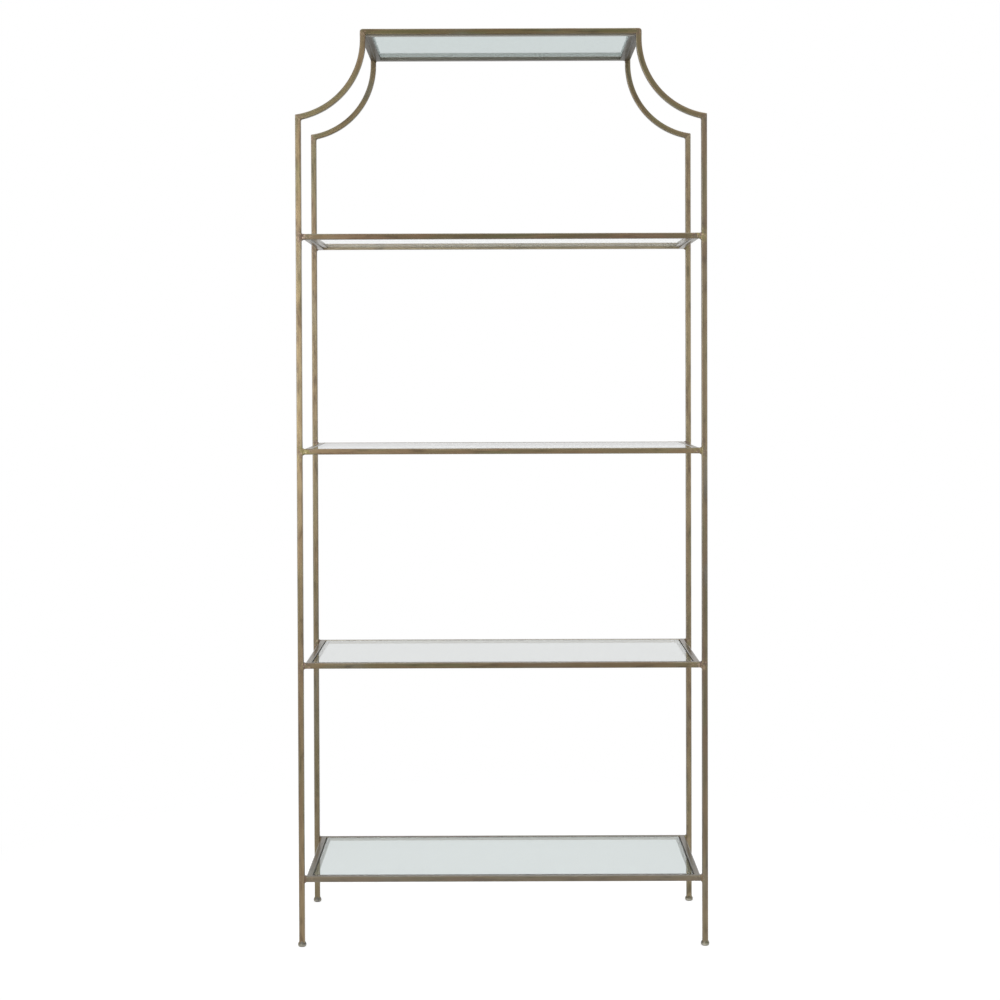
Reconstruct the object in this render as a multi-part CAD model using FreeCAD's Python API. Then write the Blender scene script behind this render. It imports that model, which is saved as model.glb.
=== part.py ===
"""A tall free-standing etagere of slender square bar with five drop-in glass shelves.

Two flat end-to-end frames, front and rear, stand one behind the other.  Each has two
legs that turn inward at sharp mitred shoulders into concave quarter sweeps, and the
sweeps rise to a narrower top rail, so the head of the piece is pagoda shaped.  The top
shelf lies inside that head.  Four wider shelves are mitred rectangles of the same bar
that hang between the legs on small brazed bridges.  Every shelf frame carries a ledge
inside it, and a loose glass pane drops in on the ledge, level with the bar.  The ledge
is a flat strip in the wide frames, and a stouter bar in the head.

Millimetres.  +Z is up, +X is to the right for someone who faces the piece, and the
front is towards -Y.  The origin is on the floor, below the middle of the piece.
"""
import FreeCAD, Part
import math
import os

from FreeCAD import Vector

# Driving dimensions of the whole piece.
OVERALL_WIDTH = 914.4
OVERALL_DEPTH = 355.6
OVERALL_HEIGHT = 2045.5

# The square bar that the whole frame is made of.
BAR = 12.7
BAR_EASED_EDGE = 0.9

# The head: a narrower top rail, short upright ends and the concave sweeps below them.
CREST_WIDTH = 625.0
SWEEP_RADIUS = 168.0
SWEEP_STRAIGHT = 22.5

# The four wide shelves, measured to the top of their frames.
LOWEST_SHELF_TOP = 158.0
SHELF_PITCH = 478.0
WIDE_SHELVES = ("bottom", "lower", "middle", "upper")

# The brazed bridge that holds a shelf frame beside a leg.
BRIDGE_GAP = 4.0
BRIDGE_FILLET = 3.2
BRIDGE_INSET = 1.5

# The small hollow fillet of braze inside each shoulder and each top corner.
CORNER_FILLET = 3.4
CORNER_FILLET_HOLLOW = 0.3

# The ledge inside a shelf frame, as its width and thickness, and the glass on it.  The
# head's ledge is thick enough to hang a little below the top rails.
FLAT_LEDGE = (11.0, 3.2)
HEAD_LEDGE = (12.3, 8.9)
LEDGE_DROP = 5.4
GLASS_THICKNESS = 5.0
GLASS_CLEARANCE = 2.3
GLASS_CORNER_RADIUS = 4.0
GLASS_ARRIS = 0.6

# The round feet, which widen from the sole to a rim and slope in again to the leg.
FOOT_DIAMETER = 19.0
FOOT_SOLE_DIAMETER = 13.6
FOOT_COLLAR_DIAMETER = 14.8
FOOT_RIM_LOW = 2.6
FOOT_RIM_HIGH = 5.2
FOOT_HEIGHT = 8.6

# Places that follow from the driving dimensions.
HALF_BAR = BAR / 2
HALF_WIDTH = OVERALL_WIDTH / 2
HALF_DEPTH = OVERALL_DEPTH / 2
LEG_X = HALF_WIDTH - HALF_BAR
LEG_Y = HALF_DEPTH - HALF_BAR
CREST_HALF_WIDTH = CREST_WIDTH / 2
CREST_END_X = CREST_HALF_WIDTH - HALF_BAR
CREST_RAIL_Z = OVERALL_HEIGHT - HALF_BAR
SWEEP_CENTRE_X = CREST_HALF_WIDTH + SWEEP_RADIUS
SWEEP_CENTRE_Z = OVERALL_HEIGHT - SWEEP_STRAIGHT
SHELF_HALF_WIDTH = HALF_WIDTH - BAR - BRIDGE_GAP

UP = Vector(0, 0, 1)
Y_AXIS = Vector(0, 1, 0)
ORIGIN = Vector(0, 0, 0)

# A mitre is cut with a round slug, wider than the bar is across its corners.
MITRE_SLUG = 4 * BAR


def bar_section():
    """Returns the bar's section, a square with eased corners, in the XY plane."""
    flat = HALF_BAR - BAR_EASED_EDGE
    side = [Vector(HALF_BAR, -flat, 0), Vector(HALF_BAR, flat, 0)]
    outline = []
    for quarter in range(4):
        turn = FreeCAD.Rotation(UP, 90 * quarter)
        outline += [turn.multVec(corner) for corner in side]
    outline.append(outline[0])
    return Part.Face(Part.makePolygon(outline))


def straight_bar(start, end):
    """Runs the bar's section along the centre line from start to end."""
    run = end - start
    section = bar_section()
    section.Placement = FreeCAD.Placement(start, FreeCAD.Rotation(UP, run))
    return section.extrude(run)


def mitred(bar, corner, outward):
    """Cuts away what lies beyond the plane through corner that faces outward."""
    return bar.cut(Part.makeCylinder(MITRE_SLUG, MITRE_SLUG, corner, outward))


def opposite(shape):
    """Returns the shape's twin, half a turn round the middle of the piece."""
    twin = shape.copy()
    twin.rotate(ORIGIN, UP, 180)
    return twin


def sweep_height_at(x, radius):
    """Returns the height of a sweep's face, of the given radius, at the place x."""
    across = SWEEP_CENTRE_X - abs(x)
    return SWEEP_CENTRE_Z - math.sqrt(radius ** 2 - across ** 2)


def shoulder_mitre():
    """Returns a point on the left front shoulder's mitre and its normal, to the sweep."""
    outer_x = -HALF_WIDTH
    inner_x = -HALF_WIDTH + BAR
    outer_z = sweep_height_at(outer_x, SWEEP_RADIUS)
    inner_z = sweep_height_at(inner_x, SWEEP_RADIUS + BAR)
    middle = Vector((outer_x + inner_x) / 2, -LEG_Y, (outer_z + inner_z) / 2)
    return middle, Vector(outer_z - inner_z, 0, BAR).normalize()


def leg():
    """Makes the left front leg, from its foot to the mitred shoulder."""
    corner, outward = shoulder_mitre()
    start = Vector(-LEG_X, -LEG_Y, FOOT_HEIGHT)
    end = Vector(-LEG_X, -LEG_Y, corner.z + BAR)
    return mitred(straight_bar(start, end), corner, outward)


def sweep():
    """Makes the left front sweep, which hollows inward from the shoulder to the top.

    The section turns a quarter of a circle about a centre outside the piece, and runs
    on straight up to the mitre with the top rail.
    """
    section = bar_section()
    start = Vector(-CREST_END_X, -LEG_Y, SWEEP_CENTRE_Z)
    section.translate(start)
    centre = Vector(-SWEEP_CENTRE_X, -LEG_Y, SWEEP_CENTRE_Z)
    curve = section.revolve(centre, Y_AXIS, 90)
    upright = section.extrude(UP * (SWEEP_STRAIGHT + BAR))
    whole = curve.fuse(upright).removeSplitter()
    corner, towards_sweep = shoulder_mitre()
    whole = mitred(whole, corner, -towards_sweep)
    top_corner = Vector(-CREST_END_X, -LEG_Y, CREST_RAIL_Z)
    return mitred(whole, top_corner, Vector(1, 0, 1))


def crest_rail():
    """Makes the front top rail, mitred to the sweeps at both ends."""
    start = Vector(-CREST_HALF_WIDTH, -LEG_Y, CREST_RAIL_Z)
    end = Vector(CREST_HALF_WIDTH, -LEG_Y, CREST_RAIL_Z)
    rail = straight_bar(start, end)
    for side in (-1, 1):
        corner = Vector(side * CREST_END_X, -LEG_Y, CREST_RAIL_Z)
        rail = mitred(rail, corner, Vector(side, 0, -1))
    return rail


def crest_tie():
    """Makes the left top rail, butted between the front and rear frames."""
    front = Vector(-CREST_END_X, BAR - HALF_DEPTH, CREST_RAIL_Z)
    rear = Vector(-CREST_END_X, HALF_DEPTH - BAR, CREST_RAIL_Z)
    return straight_bar(front, rear)


def shelf_front_rail(top):
    """Makes the front rail of a wide shelf frame, mitred to the side rails."""
    start = Vector(-SHELF_HALF_WIDTH, -LEG_Y, top - HALF_BAR)
    end = Vector(SHELF_HALF_WIDTH, -LEG_Y, top - HALF_BAR)
    rail = straight_bar(start, end)
    for side in (-1, 1):
        corner = Vector(side * (SHELF_HALF_WIDTH - HALF_BAR), -LEG_Y, top - HALF_BAR)
        rail = mitred(rail, corner, Vector(side, 1, 0))
    return rail


def shelf_left_rail(top):
    """Makes the left rail of a wide shelf frame, mitred to the front and rear rails."""
    rail_x = HALF_BAR - SHELF_HALF_WIDTH
    start = Vector(rail_x, -HALF_DEPTH, top - HALF_BAR)
    end = Vector(rail_x, HALF_DEPTH, top - HALF_BAR)
    rail = straight_bar(start, end)
    for side in (-1, 1):
        corner = Vector(rail_x, side * LEG_Y, top - HALF_BAR)
        rail = mitred(rail, corner, Vector(1, side, 0))
    return rail


def ledge_strip(half_length, seat_distance, top, ledge):
    """Makes the strip of a ledge that runs along X inside a front rail.

    It lies against the rail's inner face, seat_distance from the middle of the piece,
    and its ends are mitred to the side strips.
    """
    width, thickness = ledge
    inner = half_length - width
    near = -seat_distance
    far = width - seat_distance
    bottom = top - LEDGE_DROP - thickness
    outline = [
        Vector(-half_length, near, bottom),
        Vector(half_length, near, bottom),
        Vector(inner, far, bottom),
        Vector(-inner, far, bottom),
    ]
    outline.append(outline[0])
    return Part.Face(Part.makePolygon(outline)).extrude(UP * thickness)


def ledge_strips(half_opening, top, ledge):
    """Returns the four strips of one shelf's ledge, by the side they lie on."""
    half_depth = HALF_DEPTH - BAR
    front = ledge_strip(half_opening, half_depth, top, ledge)
    right = ledge_strip(half_depth, half_opening, top, ledge)
    right.rotate(ORIGIN, UP, 90)
    return {
        "front": front,
        "rear": opposite(front),
        "right": right,
        "left": opposite(right),
    }


def glass_pane(half_opening, top):
    """Makes a loose pane with rounded corners and a fine ground arris all round."""
    width = 2 * (half_opening - GLASS_CLEARANCE)
    depth = 2 * (HALF_DEPTH - BAR - GLASS_CLEARANCE)
    corner = Vector(-width / 2, -depth / 2, top - LEDGE_DROP)
    blank = Part.makeBox(width, depth, GLASS_THICKNESS, corner)
    uprights = []
    for edge in blank.Edges:
        if abs(edge.tangentAt(edge.FirstParameter).z) > 0.9:
            uprights.append(edge)
    pane = blank.makeFillet(GLASS_CORNER_RADIUS, uprights)
    rims = []
    for edge in pane.Edges:
        box = edge.BoundBox
        if box.ZLength < GLASS_ARRIS:
            rims.append(edge)
    return pane.makeChamfer(GLASS_ARRIS, rims)


def brazed_bridge(top):
    """Makes the bridge that joins a frame's left front corner to the leg.

    Seen from the front it is a neck that fills the gap beside the rail and spreads
    into a hollow fillet above and below, on the leg.
    """
    rail_face = -SHELF_HALF_WIDTH
    leg_face = rail_face - BRIDGE_GAP
    high = top - BRIDGE_INSET
    low = top - BAR + BRIDGE_INSET
    front = BRIDGE_INSET - HALF_DEPTH
    hollow = BRIDGE_GAP / 3

    def fillet(level, out):
        """Returns the hollow edge between the rail at this level and the leg."""
        start = Vector(rail_face, front, level)
        middle = Vector(leg_face + hollow, front, level + out * hollow / 2)
        end = Vector(leg_face, front, level + out * BRIDGE_FILLET)
        return Part.Arc(start, middle, end).toShape()

    upper = fillet(high, 1)
    lower = fillet(low, -1)
    at_rail = Part.makeLine(Vector(rail_face, front, low), Vector(rail_face, front, high))
    leg_low = Vector(leg_face, front, low - BRIDGE_FILLET)
    leg_high = Vector(leg_face, front, high + BRIDGE_FILLET)
    at_leg = Part.makeLine(leg_high, leg_low)
    outline = Part.Wire(Part.__sortEdges__([at_rail, upper, at_leg, lower]))
    return Part.Face(outline).extrude(Y_AXIS * (BAR - 2 * BRIDGE_INSET))


def corner_fillet(upper_edge):
    """Makes the left front fillet inside a mitred corner, below the upper bar.

    The edge runs from the corner along the upper bar's underside.  The fillet reaches as
    far down the bar beside it, and its free face is hollow.
    """
    corner = upper_edge.valueAt(upper_edge.FirstParameter)
    upper_end = upper_edge.valueAt(upper_edge.LastParameter)
    lower_end = corner - UP * CORNER_FILLET
    middle = corner + (upper_end + lower_end - corner * 2) * CORNER_FILLET_HOLLOW
    side = Part.makeLine(lower_end, corner)
    hollow = Part.Arc(upper_end, middle, lower_end).toShape()
    outline = Part.Wire(Part.__sortEdges__([side, upper_edge, hollow]))
    return Part.Face(outline).extrude(Y_AXIS * (BAR - 2 * BRIDGE_INSET))


def shoulder_fillet():
    """Makes the fillet between the left front leg and the underside of its sweep."""
    points = []
    for share in (0, 0.5, 1):
        x = BAR - HALF_WIDTH + share * CORNER_FILLET
        points.append(Vector(x, BRIDGE_INSET - HALF_DEPTH, sweep_height_at(x, SWEEP_RADIUS + BAR)))
    return corner_fillet(Part.Arc(*points).toShape())


def top_corner_fillet():
    """Makes the fillet between the left front sweep and the top rail."""
    corner = Vector(BAR - CREST_HALF_WIDTH, BRIDGE_INSET - HALF_DEPTH, OVERALL_HEIGHT - BAR)
    return corner_fillet(Part.makeLine(corner, corner + Vector(CORNER_FILLET, 0, 0)))


def foot():
    """Turns the left front foot, a small round pad."""
    sole = FOOT_SOLE_DIAMETER / 2
    rim = FOOT_DIAMETER / 2
    collar = FOOT_COLLAR_DIAMETER / 2
    outline = [
        ORIGIN,
        Vector(sole, 0, 0),
        Vector(rim, 0, FOOT_RIM_LOW),
        Vector(rim, 0, FOOT_RIM_HIGH),
        Vector(collar, 0, FOOT_HEIGHT),
        Vector(0, 0, FOOT_HEIGHT),
        ORIGIN,
    ]
    turned = Part.Face(Part.makePolygon(outline)).revolve(ORIGIN, UP, 360)
    turned.translate(Vector(-LEG_X, -LEG_Y, 0))
    return turned


def at_four_corners(shape, name):
    """Returns the left front shape and its three twins, named by corner.

    The shape is alike on its front and its back, so the one behind it is a plain copy.
    """
    behind = shape.copy()
    behind.translate(Y_AXIS * (2 * LEG_Y))
    return {
        name + "_front_left": shape,
        name + "_front_right": opposite(behind),
        name + "_rear_left": behind,
        name + "_rear_right": opposite(shape),
    }


def end_frames():
    """Returns the legs, feet, sweeps and top rails of the two end-to-end frames."""
    pieces = {}
    pieces.update(at_four_corners(foot(), "foot"))
    pieces.update(at_four_corners(leg(), "leg"))
    pieces.update(at_four_corners(sweep(), "crest_sweep"))
    front = crest_rail()
    left = crest_tie()
    pieces["crest_rail_front"] = front
    pieces["crest_rail_rear"] = opposite(front)
    pieces["crest_rail_left"] = left
    pieces["crest_rail_right"] = opposite(left)
    return pieces


def shelf_seat(name, half_opening, top, ledge):
    """Returns one shelf's ledge strips and its loose glass pane."""
    pieces = {}
    for side, strip in ledge_strips(half_opening, top, ledge).items():
        pieces[name + "_shelf_ledge_" + side] = strip
    pieces[name + "_shelf_glass"] = glass_pane(half_opening, top)
    return pieces


def wide_shelf(name, top):
    """Returns the rails, ledge and glass of one wide shelf."""
    front = shelf_front_rail(top)
    left = shelf_left_rail(top)
    pieces = {
        name + "_shelf_rail_front": front,
        name + "_shelf_rail_rear": opposite(front),
        name + "_shelf_rail_left": left,
        name + "_shelf_rail_right": opposite(left),
    }
    pieces.update(shelf_seat(name, SHELF_HALF_WIDTH - BAR, top, FLAT_LEDGE))
    return pieces


def brazed_bridges(shelf_tops):
    """Returns all the braze of the front frame, and all that of the rear frame.

    It is the bridges beside the legs, and the fillets inside the shoulders and the top
    corners.
    """
    braze = [brazed_bridge(top) for top in shelf_tops]
    braze += [shoulder_fillet(), top_corner_fillet()]
    front = []
    rear = []
    for shape in braze:
        places = at_four_corners(shape, "braze")
        front += [places["braze_front_left"], places["braze_front_right"]]
        rear += [places["braze_rear_left"], places["braze_rear_right"]]
    return {
        "brazed_bridges_front": Part.makeCompound(front),
        "brazed_bridges_rear": Part.makeCompound(rear),
    }


def etagere():
    """Returns every piece of the etagere by its name."""
    pieces = end_frames()
    pieces.update(shelf_seat("top", CREST_HALF_WIDTH - BAR, OVERALL_HEIGHT, HEAD_LEDGE))
    shelf_tops = []
    for number, name in enumerate(WIDE_SHELVES):
        top = LOWEST_SHELF_TOP + number * SHELF_PITCH
        shelf_tops.append(top)
        pieces.update(wide_shelf(name, top))
    pieces.update(brazed_bridges(shelf_tops))
    return pieces


def main():
    """Writes each piece to its own STEP file and prints its volume."""
    os.makedirs("parts", exist_ok=True)
    for name, shape in etagere().items():
        if not shape.isValid():
            raise ValueError(name + " is not a valid shape")
        shape.exportStep(os.path.join("parts", name + ".step"))
        print(name, len(shape.Solids), "solid(s)", round(shape.Volume, 1), "mm3")


main()
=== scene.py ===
# %% [markdown]
# # Dressing an etagere of square brass bar and glass
#
# Two flat frames of square brass bar stand one behind the other, each with two legs,
# two hollow sweeps and a narrower top rail. Four shelf frames hang between the legs on
# small brazed joints, a fifth lies in the head, and each carries a loose pane of glass.
#
# The solids stay where they are. Everything here is looks: softened bars, lumps of
# braze, turned feet, patina, glass, and the light they need. Each step says what the
# piece is on the real object, how it could be made, and why it is made this way.

# %% Load the solids
import math

import bpy
import numpy as np
from mathutils import Matrix, Vector


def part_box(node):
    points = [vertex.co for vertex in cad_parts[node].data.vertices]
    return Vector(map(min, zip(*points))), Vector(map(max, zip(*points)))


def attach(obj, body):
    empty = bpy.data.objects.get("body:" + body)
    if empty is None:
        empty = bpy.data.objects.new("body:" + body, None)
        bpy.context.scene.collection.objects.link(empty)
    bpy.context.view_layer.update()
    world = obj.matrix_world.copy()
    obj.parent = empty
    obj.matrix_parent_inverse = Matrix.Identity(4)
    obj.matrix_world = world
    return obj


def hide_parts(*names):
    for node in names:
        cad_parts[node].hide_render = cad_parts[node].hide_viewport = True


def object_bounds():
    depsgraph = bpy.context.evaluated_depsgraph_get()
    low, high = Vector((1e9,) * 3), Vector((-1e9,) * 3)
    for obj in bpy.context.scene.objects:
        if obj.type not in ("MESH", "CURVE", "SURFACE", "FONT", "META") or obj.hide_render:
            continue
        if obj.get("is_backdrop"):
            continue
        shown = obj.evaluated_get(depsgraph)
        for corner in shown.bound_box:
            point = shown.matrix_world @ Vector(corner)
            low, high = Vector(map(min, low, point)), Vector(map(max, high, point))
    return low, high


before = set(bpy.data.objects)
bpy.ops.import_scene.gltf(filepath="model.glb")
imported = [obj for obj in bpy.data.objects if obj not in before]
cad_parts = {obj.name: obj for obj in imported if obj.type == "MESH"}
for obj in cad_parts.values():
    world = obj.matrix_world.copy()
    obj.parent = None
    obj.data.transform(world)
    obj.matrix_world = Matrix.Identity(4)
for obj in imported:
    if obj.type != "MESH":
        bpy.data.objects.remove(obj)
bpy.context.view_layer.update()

MM = 0.001

# %% [markdown]
# ## Sizes
#
# Every size that the solids hold is read from them, so the dressed pieces fit however
# the solids change. Typing the numbers again would leave two files that have to agree.
# Only the sweep's sizes are written here, because a box doesn't tell them.

# %% Read the sizes from the solids
leg_low, leg_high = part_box("leg_front_left")
crest_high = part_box("crest_rail_front")[1]
shelf_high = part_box("bottom_shelf_rail_front")[1]

BAR = leg_high.x - leg_low.x
HALF_BAR = BAR / 2
HALF_WIDTH = -leg_low.x
HALF_DEPTH = -leg_low.y
LEG_X = HALF_WIDTH - HALF_BAR
LEG_Y = HALF_DEPTH - HALF_BAR
FOOT_HEIGHT = leg_low.z
TOP = crest_high.z
CREST_HALF_WIDTH = crest_high.x
CREST_END_X = CREST_HALF_WIDTH - HALF_BAR
CREST_RAIL_Z = TOP - HALF_BAR
SHELF_HALF_WIDTH = shelf_high.x
SWEEP_RADIUS = 168 * MM
SWEEP_STRAIGHT = 22.5 * MM
SWEEP_CENTRE_X = CREST_HALF_WIDTH + SWEEP_RADIUS
SWEEP_CENTRE_Z = TOP - SWEEP_STRAIGHT

WIDE_SHELVES = ("bottom", "lower", "middle", "upper")
SHELF_TOPS = {name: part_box(name + "_shelf_rail_front")[1].z for name in WIDE_SHELVES}
print("bar", round(BAR / MM, 2), "mm; shelf tops", [round(z / MM, 1) for z in SHELF_TOPS.values()])

# %% [markdown]
# ## The camera
#
# A camera can be placed by eye, or worked out from the places of a few known corners,
# as this one is. It stands a little over four metres away, slightly above the middle
# shelf, and looks almost level. The lens shift frames the picture lower without a tilt,
# so the legs stay parallel.

# %% Place the camera
CAMERA_PLACE = Vector((-0.0080, -4.2004, 1.2867))
CAMERA_PITCH, CAMERA_YAW, CAMERA_ROLL = map(math.radians, (0.965, -0.0255, -0.190))
CAMERA_LENS = 65.13
CAMERA_SENSOR = 36
CAMERA_SHIFT = (0.0025, -0.0988)


def new_object(name, data):
    """Puts an object into the scene."""
    made = bpy.data.objects.new(name, data)
    bpy.context.scene.collection.objects.link(made)
    return made


def add_camera():
    """Turns the camera by its yaw, its pitch and its roll, in that order."""
    lens = bpy.data.cameras.new("view_camera")
    lens.lens = CAMERA_LENS
    lens.sensor_width = CAMERA_SENSOR
    lens.shift_x, lens.shift_y = CAMERA_SHIFT
    camera = new_object("view_camera", lens)
    yaw = Matrix.Rotation(-CAMERA_YAW, 4, "Z")
    pitch = Matrix.Rotation(math.pi / 2 - CAMERA_PITCH, 4, "X")
    roll = Matrix.Rotation(CAMERA_ROLL, 4, "Z")
    camera.matrix_world = Matrix.Translation(CAMERA_PLACE) @ yaw @ pitch @ roll
    bpy.context.scene.camera = camera
    return camera


view_camera = add_camera()
print("camera", [round(value, 3) for value in view_camera.location], "m")

# %% [markdown]
# ## Surfaces as grids
#
# Every new piece is one grid: a closed outline with a number of lines, repeated ring by
# ring along a path. A curve with a bevel could make a bar too, but its mitred ends
# would be square, and a grid lets each line end exactly on the mitre.
#
# Plainly averaged normals make a flat face beside a small rounded edge look bent. Here
# each face counts by its area, so the wide flats stay flat.

# %% Turn a grid into a mesh


def ring_faces(rings, lines):
    """Numbers the corners of the four-sided faces between neighbouring rings.

    The points are numbered ring by ring, and the last line is joined to the first.
    """
    point = np.arange(rings * lines).reshape(rings, lines)
    beside = np.roll(point, -1, axis=1)
    corners = (point[:-1], beside[:-1], beside[1:], point[1:])
    return np.stack(corners, axis=-1).reshape(-1, 4)


def area_normals(grid):
    """Finds each point's normal, as the sum of the areas of the faces that meet there.

    A face's area vector is half the cross product of its two diagonals.
    """
    beside = np.roll(grid, -1, axis=1)
    rising = beside[1:] - grid[:-1]
    falling = grid[1:] - beside[:-1]
    areas = np.cross(rising, falling) / 2
    areas = np.concatenate([areas[:1] * 0, areas, areas[:1] * 0])
    rings = areas[1:] + areas[:-1]
    summed = rings + np.roll(rings, 1, axis=1)
    return summed / np.maximum(np.linalg.norm(summed, axis=-1, keepdims=True), 1e-20)


def unit(vector):
    """Returns the vector with a length of one."""
    vector = np.asarray(vector, float)
    return vector / np.linalg.norm(vector)


def mesh_from_grid(name, grid):
    """Makes a closed mesh: the faces between the rings, and a flat cap at each end."""
    rings, lines = grid.shape[:2]
    sides = ring_faces(rings, lines)
    caps = [list(range(lines))[::-1], list(range((rings - 1) * lines, rings * lines))]
    mesh = bpy.data.meshes.new(name)
    mesh.from_pydata(grid.reshape(-1, 3).tolist(), [], sides.tolist() + caps, shade_flat=False)
    normals = area_normals(grid).reshape(-1, 3)
    ahead = unit((grid[1] - grid[0]).mean(axis=0))
    beyond = unit((grid[-1] - grid[-2]).mean(axis=0))
    ends = [np.tile(-ahead, (lines, 1)), np.tile(beyond, (lines, 1))]
    mesh.normals_split_custom_set(np.concatenate([normals[sides.ravel()], *ends]).tolist())
    return mesh


def add_piece(name, grid, material, body, measures):
    """Makes a piece from a grid, keeps measures at its points, and lets it ride on a body."""
    mesh = mesh_from_grid(name, grid)
    for measure, values in measures.items():
        kind, field = ("FLOAT_VECTOR", "vector") if values.ndim == 3 else ("FLOAT", "value")
        layer = mesh.attributes.new(measure, kind, "POINT")
        layer.data.foreach_set(field, values.astype(np.float32).ravel())
    mesh.materials.append(material)
    piece = new_object(name, mesh)
    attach(piece, body)
    return piece


print("a ring of", 4, "lines and", 3, "rings has", len(ring_faces(3, 4)), "faces")

# %% [markdown]
# ## The section of a bar
#
# Square bar comes from the mill with softened edges, and polishing rounds them further.
# The edge catches the light, so each corner is a quarter circle. A Bevel modifier would
# give the same outline, but a written one also knows which of its points lie on an
# edge, and the patina uses that for worn edges and a painted highlight along them.

# %% Draw the section
EDGE_RADIUS = 1.9 * MM
EDGE_STEPS = 5
FLAT_STEPS = 7
EDGE_REACH = 1.6 * MM


def rounded_section(half_across, half_up, radius, flat_steps):
    """Gives a rectangle's outline: quarter circles at its corners, and straight flats.

    Returns the points (across, up), and how worn each is, which also carries a painted
    highlight: one in the middle of the rounding, and less by the bell curve of the
    distance along the outline from there.
    """
    quarter = np.linspace(0, math.pi / 2, EDGE_STEPS + 1)
    angle = quarter + np.arange(4)[:, None] * math.pi / 2
    arcs = np.stack([np.cos(angle), np.sin(angle)], axis=-1)
    side = np.sign(arcs[:, EDGE_STEPS // 2, None])
    arcs = side * (half_across - radius, half_up - radius) + radius * arcs
    flat_starts = arcs[:, -1:]
    flat_ends = np.roll(arcs[:, :1], -1, axis=0)
    share = np.arange(1, flat_steps)[:, None] / flat_steps
    flats = flat_starts + share * (flat_ends - flat_starts)
    points = np.concatenate([arcs, flats], axis=1).reshape(-1, 2)
    corners = arcs[:, EDGE_STEPS // 2:EDGE_STEPS // 2 + 2].mean(axis=1)
    away = np.linalg.norm(points[:, None] - corners, axis=-1).min(axis=-1)
    return points, np.exp(-(away / EDGE_REACH) ** 2)


bar_outline, bar_edge = rounded_section(HALF_BAR, HALF_BAR, EDGE_RADIUS, FLAT_STEPS)
print("a bar's outline has", len(bar_outline), "points")

# %% [markdown]
# ## Running the section along a bar
#
# A straight bar's lines are parallel, and each starts and ends where it meets the plane
# of the mitre. The rings lean with the mitre and stand square again a short way in.
# They are close together near the ends and wherever a leg passes a joint, because the
# corners are filed round there and brazing stains the metal.

# %% Carry the section along a straight bar
FIRST_STEP = 0.35 * MM
LONGEST_STEP = 7 * MM
SHORT_STEP = 1.5 * MM
JOINT_STRETCH = 21 * MM
LEANING_RUN = 30 * MM
GROWING_STEPS = 16
GROWING_SHARE = 0.4


def stations(length, joints=()):
    """Gives places along a bar: steps that grow from each end, and are short at joints."""
    growing = np.cumsum(np.geomspace(FIRST_STEP, LONGEST_STEP, GROWING_STEPS))
    growing = growing[growing < length * GROWING_SHARE]
    near = np.concatenate([[0], growing])
    count = max(2, math.ceil((length - 2 * near[-1]) / LONGEST_STEP)) + 1
    middle = np.linspace(near[-1], length - near[-1], count)
    places = np.concatenate([near, middle[1:-1], (length - near)[::-1]])
    for joint in joints:
        clear = np.abs(places - joint) > JOINT_STRETCH + SHORT_STEP
        stretch = np.arange(-JOINT_STRETCH, JOINT_STRETCH + SHORT_STEP / 2, SHORT_STEP)
        places = np.sort(np.concatenate([places[clear], joint + stretch]))
    return places


def straight_lines(start, end, outward, outline, start_plane, end_plane, joints=()):
    """Runs every point of an outline in a straight line from start to end.

    The outline's first axis points outward, to the outside of the bent corners. A plane
    is a point on it and its normal. The slide that brings a line's end onto the plane is
    the distance to the plane over the cosine of the run to the normal, and it fades to
    nothing along the leaning run.
    """
    start = np.asarray(start, float)
    run = np.asarray(end, float) - start
    length = np.linalg.norm(run)
    ahead = run / length
    outward = unit(outward)
    beside = np.cross(ahead, outward)
    offsets = outline[:, :1] * outward + outline[:, 1:] * beside
    along = stations(length, joints)[:, None]
    start_slide, end_slide = (
        (point - start - place * run - offsets) @ normal / (ahead @ normal)
        for place, (point, normal) in enumerate((start_plane, end_plane))
    )
    start_share = np.clip(1 - along / LEANING_RUN, 0, 1)
    end_share = np.clip(1 - (length - along) / LEANING_RUN, 0, 1)
    travel = along + start_share * start_slide + end_share * end_slide
    grid = start + offsets + travel[..., None] * ahead
    return grid, travel


def file_corner(grid, depths, corner, first, second, radius):
    """Rounds the outer corner where two faces meet, as a file does.

    The filed surface is a cylinder that touches both faces. A line that lies deeper in
    the bar follows a cylinder round the same axis whose radius is smaller by its depth,
    so that the rounded edge goes round the corner unbroken. Only points in the wedge
    between the two normals, and beyond their cylinder, move: straight to it.
    """
    first, second = unit(first), unit(second)
    lean = first @ second
    axis = unit(np.cross(first, second))
    centre = corner - radius * (first + second) / (1 + lean)
    offset = grid - centre
    level = (offset @ axis)[..., None] * axis
    flat = offset - level
    distance = np.linalg.norm(flat, axis=-1)
    toward_first = flat @ first
    toward_second = flat @ second
    share_first = toward_first - lean * toward_second
    share_second = toward_second - lean * toward_first
    wanted = np.maximum(radius - depths, 0)
    beyond = (share_first > 0) & (share_second > 0) & (distance > wanted) & (depths < radius)
    scale = np.where(beyond, wanted / np.maximum(distance, 1e-12), 1)
    return centre + level + flat * scale[..., None]


print("a bar of 0.9 m has", len(stations(0.9)), "rings")

# %% [markdown]
# ## Carrying the section round a sweep
#
# The sweep is a quarter circle, hollow towards the outside, with a short upright end. A
# bent straight bar would lean its mitre too. So all lines turn round one centre, each
# at its own radius, from where it meets the mitre's plane at the shoulder to the
# upright.

# %% Find the mitres, and carry the section round the sweep
CORNER_RADIUS = 6.2 * MM


def sweep_height(x, radius):
    """Gives a sweep face's height: its centre less the circle's height at that place."""
    across = SWEEP_CENTRE_X - abs(x)
    return SWEEP_CENTRE_Z - math.sqrt(radius ** 2 - across ** 2)


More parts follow.
